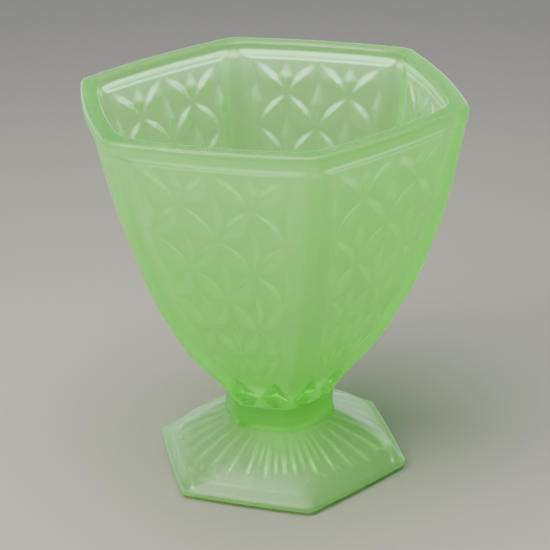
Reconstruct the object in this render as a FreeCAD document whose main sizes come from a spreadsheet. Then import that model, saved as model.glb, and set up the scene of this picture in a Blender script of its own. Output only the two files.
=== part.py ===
import FreeCAD, Part
import os
import Sketcher

# A footed six-sided dish of pressed uranium glass: a flaring bowl, a short collar and a domed foot.
# Frame: +Z up, origin at the middle of the foot's base, a corner of the hexagon on +X. Millimetres.

DIMENSIONS = {
    # every plan section is a hexagon; its radius reaches to the corners, and its sides bow outwards
    "dish_height": 120.0,
    "side_bow": 0.035,
    # outside of the bowl along its corner ribs, from the collar up to the rim
    "base_height": 24.4,
    "base_radius": 18.0,
    "knee_height": 32.0,
    "knee_radius": 23.2,
    "belly_height": 42.0,
    "belly_radius": 31.6,
    "middle_height": 58.0,
    "middle_radius": 41.4,
    "upper_height": 82.0,
    "upper_radius": 51.4,
    "shoulder_radius": 58.9,
    "rim_radius": 59.4,
    # plain band round the rim, and the bevel between it and the panels
    "rim_band": 4.0,
    "band_bevel": 3.0,
    "lip_bevel": 1.3,
    # panels pressed in between the ribs
    "panel_recess": 1.2,
    "rib_width": 2.1,
    "rib_bevel": 0.9,
    # inside of the bowl: walls are measured between the corners of the two hexagons
    "rim_wall": 5.8,
    "middle_wall": 7.0,
    "belly_wall": 8.6,
    "well_height": 31.0,
    "well_radius": 9.0,
    "well_edge_height": 34.0,
    "well_edge_radius": 15.0,
    # collar
    "collar_height": 16.7,
    "collar_radius": 18.4,
    "collar_waist": 17.2,
    # outside of the foot
    "foot_radius": 40.8,
    "foot_bow": 0.01,
    "foot_edge": 3.0,
    "haunch_height": 8.0,
    "haunch_radius": 34.5,
    "dome_height": 13.2,
    "dome_radius": 25.5,
    # hollow under the foot: a six-sided mouth, then a roof of pressed flutes
    "hollow_radius": 36.4,
    "hollow_eave_height": 4.4,
    "hollow_eave_radius": 34.6,
    "flute_eave_radius": 30.6,
    "flute_middle_height": 9.2,
    "flute_middle_radius": 21.5,
    "flute_top_height": 11.6,
    "flute_top_radius": 12.0,
    "flute_depth": 1.2,
}

SIDES = 6
FLUTES = 30
BOWL_STATIONS = ["base", "knee", "belly", "middle", "upper"]
CORNER_PER_FLAT = "(1 / cos(30 deg))"
SHOULDER_HEIGHT = "Dimensions.dish_height - Dimensions.rim_band - Dimensions.band_bevel"
BAND_HEIGHT = "Dimensions.dish_height - Dimensions.rim_band"
LIP_HEIGHT = "Dimensions.dish_height - Dimensions.lip_bevel"
PANEL_DROP = "Dimensions.panel_recess * " + CORNER_PER_FLAT

doc = FreeCAD.newDocument("dish")
sheet = doc.addObject("Spreadsheet::Sheet", "Dimensions")
for row, (name, value) in enumerate(DIMENSIONS.items(), start=1):
    sheet.set("A%d" % row, name)
    sheet.set("B%d" % row, str(value))
    sheet.setAlias("B%d" % row, name)
doc.recompute()


def cell(name):
    return "Dimensions." + name


def origin_feature(body, role):
    """One of the body's own origin planes or axes."""
    for feature in body.Origin.OriginFeatures:
        if feature.Role == role:
            return feature
    raise ValueError(role)


def new_body(label):
    body = doc.addObject("PartDesign::Body", label)
    body.Label = label
    return body


def new_sketch(body, name, plane):
    sketch = body.newObject("Sketcher::SketchObject", name)
    sketch.AttachmentSupport = (origin_feature(body, plane), [""])
    sketch.MapMode = "FlatFace"
    return sketch


def bind(sketch, constraint, name, formula):
    """Add a constraint and let a formula drive its value."""
    index = sketch.addConstraint(constraint)
    sketch.renameConstraint(index, name)
    sketch.setExpression("Constraints." + name, formula)


def bind_point(sketch, name, edge, end, x_formula, y_formula, start):
    """Hold one end of an edge at a place given by two formulas."""
    bind(sketch, Sketcher.Constraint("DistanceX", -1, 1, edge, end, start.x), name + "_x", x_formula)
    bind(sketch, Sketcher.Constraint("DistanceY", -1, 1, edge, end, start.y), name + "_y", y_formula)


def ring_of_arcs(body, name, count, height, radius, bend):
    """A level outline of equal arcs that meet at corners on a circle; bend is the arcs' own radius."""
    sketch = new_sketch(body, name, "XY_Plane")
    sketch.setExpression(".AttachmentOffset.Base.z", height)
    axis = FreeCAD.Vector(0, 0, 1)
    corners = []
    for index in range(count):
        turn = FreeCAD.Rotation(axis, 360 / count * index)
        corners.append(turn.multVec(FreeCAD.Vector(30, 0, 0)))
    half_step = FreeCAD.Rotation(axis, 180 / count)
    for index in range(count):
        middle = half_step.multVec(corners[index]) * (0.9 if count == SIDES else 1.04)
        arc = Part.Arc(corners[index], middle, corners[(index + 1) % count])
        sketch.addGeometry(arc, False)
    joins = []
    for index in range(count):
        joins.append(Sketcher.Constraint("Coincident", index, 2, (index + 1) % count, 1))
    sketch.addConstraint(joins)
    for index in range(count):
        angle = 360 / count * index
        x_formula = "(%s) * cos(%g deg)" % (radius, angle)
        y_formula = "(%s) * sin(%g deg)" % (radius, angle)
        bind_point(sketch, "corner_%d" % index, index, 1, x_formula, y_formula, corners[index])
    for index in range(count):
        bend_now = sketch.Geometry[index].Radius
        bind(sketch, Sketcher.Constraint("Radius", index, bend_now), "bend_%d" % index, bend)
    return sketch


def hexagon(body, name, height, radius, bow=cell("side_bow")):
    """A level hexagon with bowed sides; bow is the rise of a side over its length."""
    bend = "(%s) * (1 / (8 * %s) + %s / 2)" % (radius, bow, bow)
    return ring_of_arcs(body, name, SIDES, height, radius, bend)


def scalloped_circle(body, name, height, radius):
    """A level circle of outward scallops, one for each flute."""
    half_chord = "((%s) * sin(%g deg))" % (radius, 180 / FLUTES)
    bend = "%s ^ 2 / (2 * %s) + %s / 2" % (half_chord, cell("flute_depth"), cell("flute_depth"))
    return ring_of_arcs(body, name, FLUTES, height, radius, bend)


def rib_section(body, name, height, radius):
    """A level kite at the corner on +X: its point is the rib's arris and its flanks follow the sides.

    The flanks run from the arris along the bowed sides, and then bevel down below the panels.
    """
    sketch = new_sketch(body, name, "XY_Plane")
    sketch.setExpression(".AttachmentOffset.Base.z", height)
    slope = "(120 deg - asin(1 / (2 * (1 / (8 * Dimensions.side_bow) + Dimensions.side_bow / 2))))"
    width = cell("rib_width")
    bevel_along = "1.6 * Dimensions.rib_bevel"
    bevel_down = "1.6 * Dimensions.panel_recess"
    edge_x = "%s + %s * cos(%s)" % (radius, width, slope)
    edge_y = "%s * sin(%s)" % (width, slope)
    root_x = "%s + %s * cos(%s) - %s * sin(%s)" % (edge_x, bevel_along, slope, bevel_down, slope)
    root_y = "%s + %s * sin(%s) + %s * cos(%s)" % (edge_y, bevel_along, slope, bevel_down, slope)
    inside = "%s - 3 * Dimensions.panel_recess" % radius
    outline = [
        ("inside", inside, "0", FreeCAD.Vector(26, 0, 0)),
        ("root_right", root_x, "-(%s)" % root_y, FreeCAD.Vector(28, -3, 0)),
        ("edge_right", edge_x, "-(%s)" % edge_y, FreeCAD.Vector(29, -2, 0)),
        ("arris", radius, "0", FreeCAD.Vector(30, 0, 0)),
        ("edge_left", edge_x, edge_y, FreeCAD.Vector(29, 2, 0)),
        ("root_left", root_x, root_y, FreeCAD.Vector(28, 3, 0)),
    ]
    count = len(outline)
    for index in range(count):
        start = outline[index][3]
        end = outline[(index + 1) % count][3]
        sketch.addGeometry(Part.LineSegment(start, end), False)
    for index in range(count):
        sketch.addConstraint(Sketcher.Constraint("Coincident", index, 2, (index + 1) % count, 1))
    for index, (point, x_formula, y_formula, start) in enumerate(outline):
        bind_point(sketch, point, index, 1, x_formula, y_formula, start)
    return sketch


def loft(body, name, sections, kind="AdditiveLoft", ruled=False):
    feature = body.newObject("PartDesign::" + kind, name)
    feature.Profile = sections[0]
    feature.Sections = sections[1:]
    feature.Ruled = ruled
    body.Tip = feature
    return feature


def repeat_round(body, name, feature, count):
    """Repeat a feature evenly round the dish's axis."""
    around = body.newObject("PartDesign::PolarPattern", name)
    around.Originals = [feature]
    around.Axis = (origin_feature(body, "Z_Axis"), [""])
    around.Angle = 360
    around.setExpression("Occurrences", count)
    body.Tip = around
    return around


def build_bowl():
    body = new_body("bowl")
    panels = []
    for station in BOWL_STATIONS:
        radius = "%s - %s" % (cell(station + "_radius"), PANEL_DROP)
        panels.append(hexagon(body, "panel_" + station, cell(station + "_height"), radius))
    shoulder_radius = "%s - %s" % (cell("shoulder_radius"), PANEL_DROP)
    shoulder = hexagon(body, "panel_shoulder", SHOULDER_HEIGHT, shoulder_radius)
    loft(body, "Panels", panels + [shoulder])

    band_sections = [
        hexagon(body, "band_root", SHOULDER_HEIGHT, shoulder_radius),
        hexagon(body, "band_lower", BAND_HEIGHT, cell("rim_radius")),
        hexagon(body, "band_upper", LIP_HEIGHT, cell("rim_radius")),
        hexagon(body, "band_lip", cell("dish_height"), cell("rim_radius") + " - " + cell("lip_bevel")),
    ]
    loft(body, "Band", band_sections, ruled=True)

    ribs = []
    for station in BOWL_STATIONS:
        ribs.append(rib_section(body, "rib_" + station, cell(station + "_height"), cell(station + "_radius")))
    ribs.append(rib_section(body, "rib_shoulder", SHOULDER_HEIGHT, cell("shoulder_radius")))
    ribs.append(rib_section(body, "rib_top", BAND_HEIGHT + " + 0.5", cell("rim_radius") + " - 0.2"))
    rib = loft(body, "Rib", ribs)
    repeat_round(body, "Ribs", rib, "%d" % SIDES)

    well = [
        hexagon(body, "well_floor", cell("well_height"), cell("well_radius")),
        hexagon(body, "well_edge", cell("well_edge_height"), cell("well_edge_radius")),
        hexagon(body, "well_belly", cell("belly_height"), cell("belly_radius") + " - " + cell("belly_wall")),
        hexagon(body, "well_middle", cell("middle_height"), cell("middle_radius") + " - " + cell("middle_wall")),
        hexagon(body, "well_upper", cell("upper_height"), cell("upper_radius") + " - " + cell("rim_wall")),
        hexagon(body, "well_mouth", LIP_HEIGHT, cell("rim_radius") + " - " + cell("rim_wall")),
    ]
    loft(body, "Well", well, kind="SubtractiveLoft")
    mouth_radius = cell("rim_radius") + " - " + cell("rim_wall")
    mouth = [
        hexagon(body, "mouth_lower", LIP_HEIGHT, mouth_radius),
        hexagon(body, "mouth_upper", cell("dish_height"), mouth_radius + " + " + cell("lip_bevel")),
    ]
    loft(body, "Mouth", mouth, kind="SubtractiveLoft", ruled=True)
    return body


def build_collar():
    body = new_body("collar")
    middle = "(%s + %s) / 2" % (cell("collar_height"), cell("base_height"))
    sections = [
        hexagon(body, "collar_bottom", cell("collar_height"), cell("collar_radius")),
        hexagon(body, "collar_middle", middle, cell("collar_waist")),
        hexagon(body, "collar_top", cell("base_height"), cell("base_radius")),
    ]
    loft(body, "Neck", sections)
    return body


def build_foot():
    body = new_body("foot")
    bow = cell("foot_bow")
    outline = hexagon(body, "foot_outline", "0", cell("foot_radius"), bow)
    plate = body.newObject("PartDesign::Pad", "Plate")
    plate.Profile = outline
    plate.setExpression("Length", cell("foot_edge"))
    body.Tip = plate
    dome = [
        hexagon(body, "dome_edge", cell("foot_edge"), cell("foot_radius"), bow),
        hexagon(body, "dome_haunch", cell("haunch_height"), cell("haunch_radius"), bow),
        hexagon(body, "dome_crown", cell("dome_height"), cell("dome_radius"), bow),
        hexagon(body, "dome_top", cell("collar_height"), cell("collar_radius"), bow),
    ]
    loft(body, "Dome", dome)
    mouth = [
        hexagon(body, "hollow_mouth", "0", cell("hollow_radius"), bow),
        hexagon(body, "hollow_eave", cell("hollow_eave_height"), cell("hollow_eave_radius"), bow),
    ]
    loft(body, "Hollow", mouth, kind="SubtractiveLoft", ruled=True)
    flutes = [
        scalloped_circle(body, "flutes_eave", cell("hollow_eave_height"), cell("flute_eave_radius")),
        scalloped_circle(body, "flutes_middle", cell("flute_middle_height"), cell("flute_middle_radius")),
        scalloped_circle(body, "flutes_top", cell("flute_top_height"), cell("flute_top_radius")),
    ]
    loft(body, "Flutes", flutes, kind="SubtractiveLoft", ruled=True)
    return body


def check(bodies):
    """Stop if any object failed or any piece isn't one sound solid."""
    for item in doc.Objects:
        if "Invalid" in item.State or "Error" in item.State:
            raise RuntimeError("%s is in state %s" % (item.Name, item.State))
    for body in bodies:
        shape = body.Shape
        if shape.isNull() or not shape.isValid() or len(shape.Solids) != 1:
            raise RuntimeError("%s has no sound solid" % body.Label)
        box = shape.BoundBox
        size = (box.XLength, box.YLength, box.ZLength)
        print("%s %.1f cm3, box %.2f x %.2f x %.2f mm" % ((body.Label, shape.Volume / 1000) + size))


pieces = [build_bowl(), build_collar(), build_foot()]
doc.recompute()
check(pieces)
os.makedirs("parts", exist_ok=True)
for piece in pieces:
    piece.Shape.exportStep(os.path.join("parts", piece.Label + ".step"))
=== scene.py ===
import math

import bpy
import numpy as np
from mathutils import Matrix, Vector


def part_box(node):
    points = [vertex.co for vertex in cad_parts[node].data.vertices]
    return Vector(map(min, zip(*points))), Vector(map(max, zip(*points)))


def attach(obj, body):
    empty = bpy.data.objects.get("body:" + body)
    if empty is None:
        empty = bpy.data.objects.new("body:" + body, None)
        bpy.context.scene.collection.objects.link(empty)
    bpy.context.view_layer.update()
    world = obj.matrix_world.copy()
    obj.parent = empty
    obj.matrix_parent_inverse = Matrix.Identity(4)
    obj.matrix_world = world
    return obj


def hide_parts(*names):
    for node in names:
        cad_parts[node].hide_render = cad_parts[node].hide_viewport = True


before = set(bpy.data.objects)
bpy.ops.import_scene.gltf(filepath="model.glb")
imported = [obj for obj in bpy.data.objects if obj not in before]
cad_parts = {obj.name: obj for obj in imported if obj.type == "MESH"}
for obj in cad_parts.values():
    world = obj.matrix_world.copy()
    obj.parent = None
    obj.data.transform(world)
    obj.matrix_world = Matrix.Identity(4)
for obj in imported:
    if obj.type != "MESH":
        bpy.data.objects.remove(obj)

# A footed six-sided dish of frosted uranium glass: a bowl, a short collar and a domed foot.
# Lengths are in metres, and most are written as millimetres times MM.
# A hexagon's size is its corner radius, from the axis to a corner before the corners are rounded.

MM = 0.001
SIDES = 6
HALF_SIDE = math.pi / SIDES
FLAT = math.cos(HALF_SIDE)
# how far the middle of a side bows outwards, as a share of the corner radius
BOWL_BOW = 0.035
FOOT_BOW = 0.01

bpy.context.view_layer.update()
bowl_low, bowl_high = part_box("bowl")
collar_low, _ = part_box("collar")
_, foot_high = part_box("foot")

HEIGHT = bowl_high[2]
RIM_RADIUS = bowl_high[0]
BASE_HEIGHT = bowl_low[2]
COLLAR_HEIGHT = collar_low[2]
FOOT_RADIUS = foot_high[0]


def smooth_curve(stations, at):
    """A curve through (position, value) stations, with slopes taken from the neighbours."""
    x = np.array([station[0] for station in stations], float)
    y = np.array([station[1] for station in stations], float)
    slopes = np.gradient(y, x)
    at = np.clip(np.asarray(at, float), x[0], x[-1])
    index = np.clip(np.searchsorted(x, at) - 1, 0, len(x) - 2)
    width = x[index + 1] - x[index]
    t = (at - x[index]) / width
    first = (1 + 2 * t) * (1 - t) ** 2 * y[index] + t * (1 - t) ** 2 * width * slopes[index]
    second = t * t * (3 - 2 * t) * y[index + 1] + t * t * (t - 1) * width * slopes[index + 1]
    return first + second


def ramp(value, start, end):
    """0 up to start, 1 from end on, and straight between them; end may be below start."""
    return np.clip((value - start) / (end - start), 0.0, 1.0)


def side_outline(corner, across, bow, rounding, depth=0.0, flatness=0.0):
    """Distances out from the axis and across for points along one bowed side, its corners rounded off.

    A corner is a curve between points one rounding away from it on both sides. Flatness, from 0 to 1, draws
    that curve towards a straight line. Depth sinks every point.
    """
    half = corner / 2
    out = corner * (FLAT + bow * (1 - (across / half) ** 2)) - depth
    if rounding <= 0:
        return out, across
    start = half - rounding
    near_out, near_across = corner * (FLAT + bow * (1 - (start / half) ** 2)), start
    far_out = near_out * 0.5 + near_across * FLAT
    far_across = near_out * FLAT - near_across * 0.5
    top_out = corner * FLAT * (1 - flatness) + (near_out + far_out) / 2 * flatness
    top_across = half * (1 - flatness) + (near_across + far_across) / 2 * flatness
    inset = half - np.abs(across)
    t = np.clip(1 - inset / rounding, 0.0, 1.0) / 2
    round_out = (1 - t) ** 2 * near_out + 2 * t * (1 - t) * top_out + t ** 2 * far_out
    round_across = (1 - t) ** 2 * near_across + 2 * t * (1 - t) * top_across + t ** 2 * far_across
    on_corner = inset < rounding
    return (np.where(on_corner, round_out - depth, out),
            np.where(on_corner, np.sign(across) * round_across, across))


def all_sides(out, across, height):
    """The same outline on all six sides, as one ring of points."""
    points = []
    for side in range(SIDES):
        angle = HALF_SIDE * (2 * side + 1)
        x = out * math.cos(angle) - across * math.sin(angle)
        y = out * math.sin(angle) + across * math.cos(angle)
        points.append(np.column_stack([x, y, np.broadcast_to(height, out.shape)]))
    return np.concatenate(points)


def plain_ring(corner, height, shares, bow, rounding):
    """A level ring with no relief; shares run from -1 to 1 across each side."""
    out, across = side_outline(corner, shares * corner / 2, bow, min(rounding, corner / 4))
    return all_sides(out, across, height)


def even_shares(count):
    """This many even steps across a side, from -1 up to but not including 1, where the next side begins."""
    return np.linspace(-1, 1, count, endpoint=False)


def skin(name, rings, frost, tint, depths=None):
    """A closed mesh through rings of equally many points, with a fan over the first and the last ring.

    Each cell is split along its more level diagonal, so that the cuts keep straight edges. For every ring,
    frost and tint hold one value, or one for each of its points.
    """
    width = len(rings[0])
    if depths is None:
        depths = [np.zeros(width)] * len(rings)
    points = np.concatenate(rings + [rings[0].mean(axis=0)[None], rings[-1].mean(axis=0)[None]])
    index = np.arange(width)
    after = (index + 1) % width
    faces = []
    for level in range(len(rings) - 1):
        lower, upper = level * width, (level + 1) * width
        a, b = lower + index, lower + after
        c, d = upper + after, upper + index
        low, high = depths[level], depths[level + 1]
        level_first = np.abs(low[index] - high[after]) <= np.abs(low[after] - high[index])
        one = np.where(level_first[:, None], np.column_stack([a, b, c]), np.column_stack([a, b, d]))
        two = np.where(level_first[:, None], np.column_stack([a, c, d]), np.column_stack([b, c, d]))
        faces.append(one)
        faces.append(two)
    first_middle, last_middle = len(points) - 2, len(points) - 1
    faces.append(np.column_stack([after, index, np.full(width, first_middle)]))
    top = (len(rings) - 1) * width
    faces.append(np.column_stack([top + index, top + after, np.full(width, last_middle)]))
    mesh = bpy.data.meshes.new(name)
    mesh.from_pydata(points.tolist(), [], np.concatenate(faces).tolist())
    mesh.validate()
    mesh.shade_smooth()
    for label, levels in (("frost", frost), ("tint", tint)):
        values = np.concatenate([np.broadcast_to(level, width) for level in levels] +
                                [[np.mean(levels[0]), np.mean(levels[-1])]])
        attribute = mesh.attributes.new(label, "FLOAT", "POINT")
        attribute.data.foreach_set("value", values.astype(np.float32))
    piece = bpy.data.objects.new(name, mesh)
    bpy.context.collection.objects.link(piece)
    return piece


# ---------------------------------------------------------------- bowl

JOINT_GAP = 0.05 * MM
RIM_WALL = 5.0 * MM
BAND = 3.7 * MM
BAND_BEVEL = 2.5 * MM
BAND_BEVEL_CURVE = 1.5
BAND_BOTTOM = HEIGHT - BAND
SHOULDER = BAND_BOTTOM - BAND_BEVEL
LIP_ROUND = 1.2 * MM
RIB_WIDTH = 2.1 * MM
RIB_BEVEL = 4.5 * MM
RIB_FLATNESS = 0.6
PANEL_RECESS = 1.2 * MM
ARRIS_ROUND = 2.6 * MM
INNER_ROUND = 6.5 * MM

# (height, corner radius)
BOWL_OUTSIDE = [
    (BASE_HEIGHT, 18.0 * MM),
    (32.0 * MM, 23.2 * MM),
    (42.0 * MM, 31.6 * MM),
    (58.0 * MM, 41.4 * MM),
    (82.0 * MM, 51.4 * MM),
    (SHOULDER, RIM_RADIUS - 0.5 * MM),
    (BAND_BOTTOM, RIM_RADIUS),
    (HEIGHT, RIM_RADIUS),
]
BOWL_FLOOR = 31.0 * MM
BOWL_INSIDE = [
    (BOWL_FLOOR, 5.0 * MM),
    (33.0 * MM, 13.0 * MM),
    (42.0 * MM, 23.0 * MM),
    (58.0 * MM, 34.4 * MM),
    (82.0 * MM, 45.6 * MM),
    (SHOULDER, RIM_RADIUS - RIM_WALL / FLAT - 0.4 * MM),
    (HEIGHT, RIM_RADIUS - RIM_WALL / FLAT),
]

# the cut pattern: leaf-shaped cuts between nodes of a diamond lattice, and one standing on each node;
# a node's column is counted in steps across the panel, and its row in pitches down from the top one
NODE_STEP = 0.475
NODE_TOP = 102.7 * MM
NODE_PITCH = 10.6 * MM
NODE_ROWS = 9
LEAF_HALF_WIDTH = 0.2
LEAF_TAPER = 0.38
LEAF_DEPTH = 0.95 * MM
UPRIGHT_HALF_WIDTH = 0.27
UPRIGHT_DEPTH = 0.9
UPRIGHT_TAPER = 0.5
UPRIGHT_LENGTH = 1.4
CUT_SOFTNESS = 0.12
CUT_SKEW = 0.32
# the cuts deepen over a fade above PATTERN_BOTTOM, and run out over another below the shoulder;
# the panels themselves sink in over a fade above the bottom of the bowl
PATTERN_BOTTOM = 34 * MM
PATTERN_FADE = 10 * MM
SHOULDER_FADE = 7 * MM
PANEL_FADE = 9 * MM

# notches round the bottom of the bowl: two to a side, each halfway between a corner and the middle;
# place and half width are shares of half the side
NOTCH_LENGTH = 17 * MM
NOTCH_DROP = 4.5 * MM
NOTCH_DEPTH = 1.2 * MM
NOTCH_PLACE = 0.5
NOTCH_HALF_WIDTH = 0.5
NOTCH_TAPER = 0.5

# the mesh
CELLS_PER_NODE = 17
RIB_COLUMNS = np.array([0.0, 0.35, 0.8, 1.4]) * MM
BEVEL_COLUMNS = 4
BEVEL_ROWS = 6
LEAST_STEP = 0.3 * MM
SLOPE_STEP = 0.5 * MM
PANEL_EDGE_MARGIN = 1.0001
LIP_STEPS = 5
INSIDE_ROWS = 20
INSIDE_MARGIN = 2 * MM
# (share of the lowest inside ring, height above the floor)
FLOOR_RINGS = ((0.8, 1.3 * MM), (0.6, 0.7 * MM), (0.35, 0.25 * MM), (0.15, 0.05 * MM))

# frosting and tint; the gains say how much sooner than their depth the cuts and notches reach full effect
FLAT_FROST = 0.85
CUT_FROST_GAIN = 5
BAND_FROST = 0.85
LIP_FROST = 0.75
LOW_FROST = 0.75
LOW_FROST_BOTTOM = 32 * MM
LOW_FROST_TOP = 52 * MM
LOW_TINT = 0.8
LOW_TINT_TOP = 110 * MM
LIP_TINT = 0.3
RIB_TINT = 0.1
RIB_TINT_EDGE = 0.12
RIB_TINT_FULL = 0.06
# painted shade: the notches are coloured a darker green, standing in for the shade in these cuts
NOTCH_PAINTED_SHADE_TINT = 1.0
NOTCH_CLEARING = 0.42
NOTCH_GAIN = 4


def leaf(along, across, taper, skew=0.0):
    """Depth of one leaf-shaped V cut: along runs 0 to 1 from tip to tip, across is -1 to 1 at its widest.

    Taper is the share of the length over which each end comes to its point. Skew widens the facet on the
    positive side of the cut's straight bottom and narrows the other.
    """
    outline = np.minimum(1.0, np.minimum(along, 1 - along) / taper)
    facets = outline - np.maximum(-across / (1 - skew), across / (1 + skew))
    return np.where((along > 0) & (along < 1), np.maximum(0.0, facets), 0.0)


def cut_depth(column, row):
    """Depth, from 0 to 1, of the cuts at a place in the lattice; nodes lie where column + row is odd."""
    u = (column + row) / 2
    v = (column - row) / 2
    rising = leaf((v - 0.5) % 1.0, (u - np.floor(u) - 0.5) / LEAF_HALF_WIDTH, LEAF_TAPER, CUT_SKEW)
    falling = leaf((u - 0.5) % 1.0, (np.floor(v) + 0.5 - v) / LEAF_HALF_WIDTH, LEAF_TAPER, CUT_SKEW)
    upright = np.zeros_like(u)
    for node_row in range(NODE_ROWS):
        first = (node_row + 1) % 2
        offset = (column - first + 1) % 2 - 1
        along = (node_row - row) / min(UPRIGHT_LENGTH, node_row + 1)
        one_row = UPRIGHT_DEPTH * leaf(along, offset / UPRIGHT_HALF_WIDTH, UPRIGHT_TAPER)
        upright = np.maximum(upright, one_row)
    deepest = np.maximum(np.maximum(falling, rising), upright)
    return deepest ** 2 * (1 + CUT_SOFTNESS) / (deepest + CUT_SOFTNESS)


def across_side(half):
    """Places of the columns across one side: close together on the rib and its bevel, then even."""
    bevel = np.linspace(RIB_WIDTH, RIB_WIDTH + RIB_BEVEL, BEVEL_COLUMNS, endpoint=False)
    edge = np.concatenate([RIB_COLUMNS, bevel])
    count = int(CELLS_PER_NODE / NODE_STEP)
    panel = np.concatenate([[-1.0], np.arange(-count, count + 1) * NODE_STEP / CELLS_PER_NODE, [1.0]])
    return np.concatenate([edge - half, panel * (half - RIB_WIDTH - RIB_BEVEL), (half - edge)[:0:-1]])


def low_tint(height):
    """The glass is thicker, and so greener, towards the bottom of the bowl."""
    return LOW_TINT * float(ramp(height, LOW_TINT_TOP, BASE_HEIGHT))


def outer_ring(height):
    """One ring of the bowl's outside: its points, and the relief's depth, the frosting and the tint there."""
    corner = float(smooth_curve(BOWL_OUTSIDE, height))
    above = float(smooth_curve(BOWL_OUTSIDE, height + SLOPE_STEP))
    below = float(smooth_curve(BOWL_OUTSIDE, height - SLOPE_STEP))
    tilt = math.atan2((above - below) * FLAT, 2 * SLOPE_STEP)
    half = corner / 2
    panel_half = half - RIB_WIDTH - RIB_BEVEL
    across = across_side(half)
    inset = half - np.abs(across)

    side_ramp = ramp(inset, RIB_WIDTH, RIB_WIDTH + RIB_BEVEL)
    band_ramp = float(ramp(height, BAND_BOTTOM, SHOULDER))
    top_ramp = band_ramp ** BAND_BEVEL_CURVE
    bottom_ramp = float(ramp(height, BASE_HEIGHT, BASE_HEIGHT + PANEL_FADE))
    recess = np.minimum(side_ramp, min(top_ramp, bottom_ramp))

    column = across / panel_half / NODE_STEP
    row = np.full_like(across, (NODE_TOP - height) / NODE_PITCH)
    inside = (np.abs(across) <= panel_half * PANEL_EDGE_MARGIN) & (height < SHOULDER)
    scale = float(ramp(height, PATTERN_BOTTOM, PATTERN_BOTTOM + PATTERN_FADE))
    clear_of_shoulder = float(ramp(height, SHOULDER, SHOULDER - SHOULDER_FADE))
    cuts = np.where(inside, cut_depth(column, row), 0.0) * min(bottom_ramp, clear_of_shoulder)

    along = (height - BASE_HEIGHT + NOTCH_DROP) / NOTCH_LENGTH
    notches = leaf(along, (inset / half - NOTCH_PLACE) / NOTCH_HALF_WIDTH, NOTCH_TAPER)
    notched = np.minimum(1.0, NOTCH_GAIN * notches)
    depth = PANEL_RECESS * recess + LEAF_DEPTH * scale * cuts + NOTCH_DEPTH * notches

    frost = FLAT_FROST + (1 - FLAT_FROST) * np.minimum(1.0, CUT_FROST_GAIN * cuts)
    frost = LOW_FROST + (frost - LOW_FROST) * float(ramp(height, LOW_FROST_BOTTOM, LOW_FROST_TOP))
    frost = BAND_FROST + (frost - BAND_FROST) * top_ramp - NOTCH_CLEARING * notched
    rib = ramp(inset, RIB_TINT_EDGE * half, RIB_TINT_FULL * half)
    # the notches add a darker green of painted shade
    tint = low_tint(height) + RIB_TINT * rib * band_ramp + NOTCH_PAINTED_SHADE_TINT * notched

    flatness = RIB_FLATNESS * top_ramp
    out, across = side_outline(corner, across, BOWL_BOW, ARRIS_ROUND, depth * math.cos(tilt), flatness)
    points = all_sides(out, across, height + depth * math.sin(tilt))
    return points, np.tile(depth, SIDES), np.tile(frost, SIDES), np.tile(tint, SIDES)


def build_bowl():
    """From the joint with the collar up the outside, over the lip and down to the bowl's floor."""
    start = BASE_HEIGHT + JOINT_GAP
    row_step = NODE_PITCH / CELLS_PER_NODE
    first = NODE_TOP - row_step * int((NODE_TOP - start - LEAST_STEP) / row_step)
    heights = [start]
    heights += list(np.arange(first, SHOULDER - LEAST_STEP, row_step))
    heights += list(np.linspace(SHOULDER, BAND_BOTTOM, BEVEL_ROWS))
    heights += [BAND_BOTTOM + 0.4 * MM, HEIGHT - LIP_ROUND - 1 * MM]
    rings, depths, frost, tint = [list(values) for values in zip(*map(outer_ring, heights))]

    shares = across_side(RIM_RADIUS / 2) / (RIM_RADIUS / 2)
    quarter_turn = [math.pi / 2 * step / LIP_STEPS for step in range(LIP_STEPS + 1)]
    for turn in quarter_turn:
        inset = LIP_ROUND * (1 - math.cos(turn))
        height = HEIGHT - LIP_ROUND * (1 - math.sin(turn))
        rings.append(plain_ring(RIM_RADIUS - inset / FLAT, height, shares, BOWL_BOW, ARRIS_ROUND))
    for turn in quarter_turn:
        inset = RIM_WALL - LIP_ROUND * (1 - math.sin(turn))
        height = HEIGHT - LIP_ROUND * (1 - math.cos(turn))
        rings.append(plain_ring(RIM_RADIUS - inset / FLAT, height, shares, BOWL_BOW, INNER_ROUND))
    lip = 2 * len(quarter_turn)
    frost += [LIP_FROST * (lip - step) / lip for step in range(lip)]
    tint += [LIP_TINT] * lip

    lowest = BOWL_FLOOR + INSIDE_MARGIN
    for height in np.linspace(HEIGHT - LIP_ROUND - INSIDE_MARGIN, lowest, INSIDE_ROWS):
        corner = float(smooth_curve(BOWL_INSIDE, height))
        rings.append(plain_ring(corner, height, shares, BOWL_BOW, INNER_ROUND))
    for share, rise in FLOOR_RINGS:
        corner = float(smooth_curve(BOWL_INSIDE, lowest)) * share
        rings.append(plain_ring(corner, BOWL_FLOOR + rise, shares, BOWL_BOW, INNER_ROUND))
    frost += [0.0] * (len(rings) - len(frost))
    tint += [low_tint(ring[0, 2]) for ring in rings[len(tint):]]
    depths += [np.zeros(len(rings[0]))] * (len(rings) - len(depths))
    return skin("bowl_glass", rings, frost, tint, depths)


# ---------------------------------------------------------------- collar

COLLAR_BOTTOM_RADIUS = 18.2 * MM
COLLAR_WAIST_RADIUS = 17.7 * MM
COLLAR_TOP_RADIUS = 17.9 * MM
COLLAR_ROUND = 1.6 * MM
COLLAR_COLUMNS = 24
COLLAR_ROWS = 16
COLLAR_END_SHARES = (0.4, 0.75)
COLLAR_FROST = 0.42
COLLAR_TINT = 1.0


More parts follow.
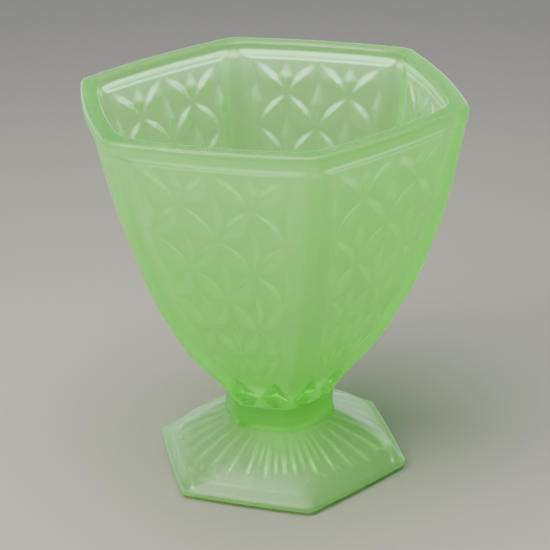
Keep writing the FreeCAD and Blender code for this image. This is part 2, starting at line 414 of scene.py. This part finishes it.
def build_collar():
    """The solid neck: six-sided, a little waisted."""
    shares = even_shares(COLLAR_COLUMNS)
    low, high = COLLAR_HEIGHT + JOINT_GAP, BASE_HEIGHT - JOINT_GAP
    waist = [(low, COLLAR_BOTTOM_RADIUS), ((low + high) / 2, COLLAR_WAIST_RADIUS), (high, COLLAR_TOP_RADIUS)]
    rings = []
    for share in COLLAR_END_SHARES:
        rings.append(plain_ring(COLLAR_BOTTOM_RADIUS * share, low, shares, BOWL_BOW, COLLAR_ROUND))
    for height in np.linspace(low, high, COLLAR_ROWS):
        corner = float(smooth_curve(waist, height))
        rings.append(plain_ring(corner, height, shares, BOWL_BOW, COLLAR_ROUND))
    for share in reversed(COLLAR_END_SHARES):
        rings.append(plain_ring(COLLAR_TOP_RADIUS * share, high, shares, BOWL_BOW, COLLAR_ROUND))
    return skin("collar_glass", rings, [COLLAR_FROST] * len(rings), [COLLAR_TINT] * len(rings))


# ---------------------------------------------------------------- foot

FOOT_TOP_RADIUS = 18.4 * MM
FOOT_COLUMNS = 60
FOOT_ROWS = 26
FOOT_END_SHARES = (0.7, 0.35)
FOOT_ROUND = 1.6 * MM
FOOT_FROST = 0.64
FOOT_TINT = -0.1
# painted shade: a darker green on the underside and its edge chamfer, standing in for the shade in the gap
# under the foot's edge
UNDERSIDE_PAINTED_SHADE_TINT = 0.6

# the roof of the hollow, from its middle outwards: a dome that turns from round towards six-sided
ROOF_ROWS = 30
ROOF_START = 10.0 * MM
ROOF_END = 31.0 * MM
ROOF_TOP = 12.0 * MM
ROOF_DROP = 7.2 * MM
ROOF_CURVE = 1.6
ROOF_SIXSIDED = 0.35
ROOF_HEXAGON_SCALE = 1.07
FLUTES = 30
FLUTE_DEPTH = 2.0 * MM
FLUTE_START = 0.2
FLUTE_END = 0.15

# (corner radius, height) down the wall of the hollow, over the ring it stands on and out to the edge
UNDERSIDE = [
    (35.4 * MM, 4.6 * MM),
    (36.1 * MM, 2.5 * MM),
    (36.4 * MM, 0.6 * MM),
    (36.6 * MM, 0.15 * MM),
    (36.9 * MM, 0.0),
    (37.5 * MM, 0.0),
    (37.9 * MM, 0.1 * MM),
    (FOOT_RADIUS - 0.4 * MM, 1.2 * MM),
]
FOOT_EDGE = [
    (FOOT_RADIUS - 0.05 * MM, 1.5 * MM),
    (FOOT_RADIUS, 2.5 * MM),
    (FOOT_RADIUS - 0.1 * MM, 2.9 * MM),
]
FOOT_EDGE_TOP = 3.2 * MM
# (height, corner radius)
FOOT_OUTSIDE = [
    (2.6 * MM, FOOT_RADIUS),
    (8.0 * MM, 34.5 * MM),
    (13.2 * MM, 25.5 * MM),
    (COLLAR_HEIGHT, FOOT_TOP_RADIUS),
]
# (height, rounding of the corners): crisp at the edge and at the collar, soft over the dome
FOOT_ROUNDING = [
    (3.0 * MM, 1.6 * MM),
    (7.0 * MM, 10.6 * MM),
    (13.0 * MM, 10.6 * MM),
    (17.5 * MM, 1.6 * MM),
]


def roof_ring(t, shares):
    """One ring of the hollow's roof; t runs from 0 at its middle to 1 at its outer end."""
    radius = ROOF_START + (ROOF_END - ROOF_START) * t
    height = ROOF_TOP - ROOF_DROP * t ** ROOF_CURVE
    flute = FLUTE_DEPTH * min(1.0, t / FLUTE_START) * math.sqrt(min(1.0, (1 - t) / FLUTE_END))
    ring = plain_ring(radius / (FLAT * ROOF_HEXAGON_SCALE), height, shares, FOOT_BOW, 0.0)
    distance = np.hypot(ring[:, 0], ring[:, 1])
    angle = np.arctan2(ring[:, 1], ring[:, 0])
    sixsided = ROOF_SIXSIDED * t
    scale = (radius * (1 - sixsided) + distance * sixsided) / distance
    ring[:, 0] *= scale
    ring[:, 1] *= scale
    ring[:, 2] += flute * (1 - np.cos(angle * FLUTES)) / 2
    return ring


def build_foot():
    """From the roof of the hollow down to the base, and over the outside up to the collar."""
    shares = even_shares(FOOT_COLUMNS)
    top = COLLAR_HEIGHT - JOINT_GAP
    rings = [roof_ring(row / (ROOF_ROWS - 1), shares) for row in range(ROOF_ROWS)]
    for corner, height in UNDERSIDE + FOOT_EDGE:
        rings.append(plain_ring(corner, height, shares, FOOT_BOW, FOOT_ROUND))
    for height in np.linspace(FOOT_EDGE_TOP, top, FOOT_ROWS):
        corner = float(smooth_curve(FOOT_OUTSIDE, height))
        rounding = float(np.interp(height, *zip(*FOOT_ROUNDING)))
        rings.append(plain_ring(corner, height, shares, FOOT_BOW, rounding))
    for share in FOOT_END_SHARES:
        rings.append(plain_ring(FOOT_TOP_RADIUS * share, top, shares, FOOT_BOW, COLLAR_ROUND))
    outside = len(rings) - ROOF_ROWS - len(UNDERSIDE)
    frost = [0.0] * (ROOF_ROWS + len(UNDERSIDE)) + [FOOT_FROST] * outside
    # the underside rings carry the darker green of painted shade
    tint = [0.0] * ROOF_ROWS + [UNDERSIDE_PAINTED_SHADE_TINT] * len(UNDERSIDE) + [FOOT_TINT] * outside
    return skin("foot_glass", rings, frost, tint)


# ---------------------------------------------------------------- material

IOR = 1.5
# base colour where the tint is 0 and where it is 1
THIN_COLOUR = (0.76, 0.95, 0.67, 1)
THICK_COLOUR = (0.24, 0.69, 0.13, 1)
FLUORESCENT_AND_PAINTED_GLOW_COLOUR = (0.22, 0.85, 0.06, 1)
DEPTH_COLOUR = (0.36, 0.90, 0.05, 1)
DENSITY = 56.0
# (shader input, value on clear glass, value on frosted glass)
FROST_EFFECTS = (
    ("Roughness", 0.12, 0.42),
    ("Transmission Weight", 1.0, 0.76),
    # the emission is partly the glass's fluorescence and partly painted light: a glow on frosted glass
    # standing in for light scattered through it
    ("Emission Strength", 0.0, 0.33),
)
# the frost, with its clouds, at which glass counts as clear and as fully frosted
CLEAR_AT = 0.15
FROSTED_AT = 1.15
CLOUD_SCALE = 55.0
CLOUD_DETAIL = 4.0
CLOUD_FROST = 0.3
CLOUD_TINT = 0.25
GRAIN_SCALE = 900.0
GRAIN_DETAIL = 3.0
GRAIN_STRENGTH = 0.12
GRAIN_HEIGHT = 0.0003


def frosted_glass():
    """Acid-frosted uranium glass.

    Roughness, glow and how little passes through follow frost; the glow is partly the uranium glass's own
    fluorescence and partly painted light, standing in for light scattered through the frosted surface. The
    surface colour follows tint, which also holds painted shade on the foot's underside and in the notches.
    The depth of the glass itself adds the rest of the green.
    """
    material = bpy.data.materials.new("frosted_green_glass")
    material.use_nodes = True
    nodes, links = material.node_tree.nodes, material.node_tree.links
    shader = nodes["Principled BSDF"]
    shader.inputs["IOR"].default_value = IOR
    # glow colour: partly fluorescence, partly painted light for light scattered through the frost
    shader.inputs["Emission Color"].default_value = FLUORESCENT_AND_PAINTED_GLOW_COLOUR
    place = nodes.new("ShaderNodeTexCoord")

    def noise(scale, detail):
        texture = nodes.new("ShaderNodeTexNoise")
        texture.inputs["Scale"].default_value = scale
        texture.inputs["Detail"].default_value = detail
        links.new(place.outputs["Object"], texture.inputs["Vector"])
        return texture

    clouds = noise(CLOUD_SCALE, CLOUD_DETAIL)
    grain = noise(GRAIN_SCALE, GRAIN_DETAIL)

    def cloudy(name, amount):
        """A value stored on the mesh, with this much of the clouds added to it."""
        stored = nodes.new("ShaderNodeAttribute")
        stored.attribute_name = name
        total = nodes.new("ShaderNodeMath")
        total.operation = "MULTIPLY_ADD"
        total.inputs[1].default_value = amount
        links.new(clouds.outputs["Fac"], total.inputs[0])
        links.new(stored.outputs["Fac"], total.inputs[2])
        return total

    frost = cloudy("frost", CLOUD_FROST)
    for socket, clear, frosted in FROST_EFFECTS:
        blend = nodes.new("ShaderNodeMapRange")
        blend.inputs["From Min"].default_value = CLEAR_AT
        blend.inputs["From Max"].default_value = FROSTED_AT
        blend.inputs["To Min"].default_value = clear
        blend.inputs["To Max"].default_value = frosted
        links.new(frost.outputs["Value"], blend.inputs["Value"])
        links.new(blend.outputs["Result"], shader.inputs[socket])

    tint = cloudy("tint", CLOUD_TINT)
    colour = nodes.new("ShaderNodeMix")
    colour.data_type = "RGBA"
    colour.inputs["A"].default_value = THIN_COLOUR
    colour.inputs["B"].default_value = THICK_COLOUR
    links.new(tint.outputs["Value"], colour.inputs["Factor"])
    links.new(colour.outputs["Result"], shader.inputs["Base Color"])

    bump = nodes.new("ShaderNodeBump")
    bump.inputs["Strength"].default_value = GRAIN_STRENGTH
    bump.inputs["Distance"].default_value = GRAIN_HEIGHT
    links.new(grain.outputs["Fac"], bump.inputs["Height"])
    links.new(bump.outputs["Normal"], shader.inputs["Normal"])

    volume = nodes.new("ShaderNodeVolumeAbsorption")
    volume.inputs["Color"].default_value = DEPTH_COLOUR
    volume.inputs["Density"].default_value = DENSITY
    links.new(volume.outputs["Volume"], nodes["Material Output"].inputs["Volume"])
    return material


glass = frosted_glass()
bowl = build_bowl()
collar = build_collar()
foot = build_foot()
for piece, node in ((bowl, "bowl"), (collar, "collar"), (foot, "foot")):
    piece.data.materials.append(glass)
    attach(piece, "root")
    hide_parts(node)


# ---------------------------------------------------------------- setting

FLOOR_RADIUS = 0.62
FLOOR_CORNERS = 64
FLOOR_COLOUR = (0.45, 0.42, 0.37, 1)
FLOOR_ROUGHNESS = 0.8
FLOOR_SHINE = 0.15
BACKDROP_COLOUR = (0.62, 0.78, 1.0, 1)
BACKDROP_STRENGTH = 0.26

CAMERA_AZIMUTH = math.radians(18.71)
CAMERA_ELEVATION = math.radians(23.97)
CAMERA_ROLL = math.radians(-1.96)
CAMERA_DISTANCE = 4.366 * HEIGHT
CAMERA_TARGET = Vector((0, 0, 0.5127 * HEIGHT))
SENSOR_WIDTH = 36.0
FOCAL_LENGTH = 112.86


def build_floor():
    mesh = bpy.data.meshes.new("floor")
    turns = [math.tau * corner / FLOOR_CORNERS for corner in range(FLOOR_CORNERS)]
    points = [(FLOOR_RADIUS * math.cos(turn), FLOOR_RADIUS * math.sin(turn), 0) for turn in turns]
    mesh.from_pydata(points, [], [tuple(range(FLOOR_CORNERS))])
    floor = bpy.data.objects.new("floor", mesh)
    bpy.context.collection.objects.link(floor)
    material = bpy.data.materials.new("floor")
    material.use_nodes = True
    shader = material.node_tree.nodes["Principled BSDF"]
    shader.inputs["Base Color"].default_value = FLOOR_COLOUR
    shader.inputs["Roughness"].default_value = FLOOR_ROUGHNESS
    shader.inputs["Specular IOR Level"].default_value = FLOOR_SHINE
    mesh.materials.append(material)


def area_light(name, place, size, power, colour):
    """A rectangular light that faces the middle of the dish."""
    data = bpy.data.lights.new(name, "AREA")
    data.shape = "RECTANGLE"
    data.size, data.size_y = size
    data.energy = power
    data.color = colour
    light = bpy.data.objects.new(name, data)
    light.location = place
    towards = Vector((0, 0, HEIGHT / 2)) - Vector(place)
    light.rotation_euler = towards.to_track_quat("-Z", "Y").to_euler()
    bpy.context.collection.objects.link(light)


def build_camera():
    """Looks slightly down on the dish, with one corner of the foot nearest."""
    level = math.cos(CAMERA_ELEVATION)
    back = Vector((math.sin(CAMERA_AZIMUTH) * level, -math.cos(CAMERA_AZIMUTH) * level,
                   math.sin(CAMERA_ELEVATION)))
    side = Vector((math.cos(CAMERA_AZIMUTH), math.sin(CAMERA_AZIMUTH), 0))
    up = back.cross(side)
    right = side * math.cos(CAMERA_ROLL) + up * math.sin(CAMERA_ROLL)
    above = up * math.cos(CAMERA_ROLL) - side * math.sin(CAMERA_ROLL)
    data = bpy.data.cameras.new("camera")
    data.sensor_width = SENSOR_WIDTH
    data.lens = FOCAL_LENGTH
    camera = bpy.data.objects.new("camera", data)
    place = Matrix.Translation(CAMERA_TARGET + back * CAMERA_DISTANCE)
    camera.matrix_world = place @ Matrix((right, above, back)).transposed().to_4x4()
    bpy.context.collection.objects.link(camera)
    bpy.context.scene.camera = camera


def build_world():
    world = bpy.data.worlds.new("studio")
    bpy.context.scene.world = world
    world.use_nodes = True
    backdrop = world.node_tree.nodes["Background"]
    backdrop.inputs["Color"].default_value = BACKDROP_COLOUR
    backdrop.inputs["Strength"].default_value = BACKDROP_STRENGTH


build_floor()
build_camera()
build_world()
area_light("back", (-0.3, 1.05, -0.05), (2.4, 0.5), 10.7, (0.86, 0.92, 1.0))
area_light("top", (0.0, -0.05, 0.5), (0.35, 0.35), 2.7, (1.0, 0.97, 0.91))
area_light("key", (-0.26, -0.38, 0.48), (0.35, 0.35), 3.0, (1.0, 0.95, 0.87))
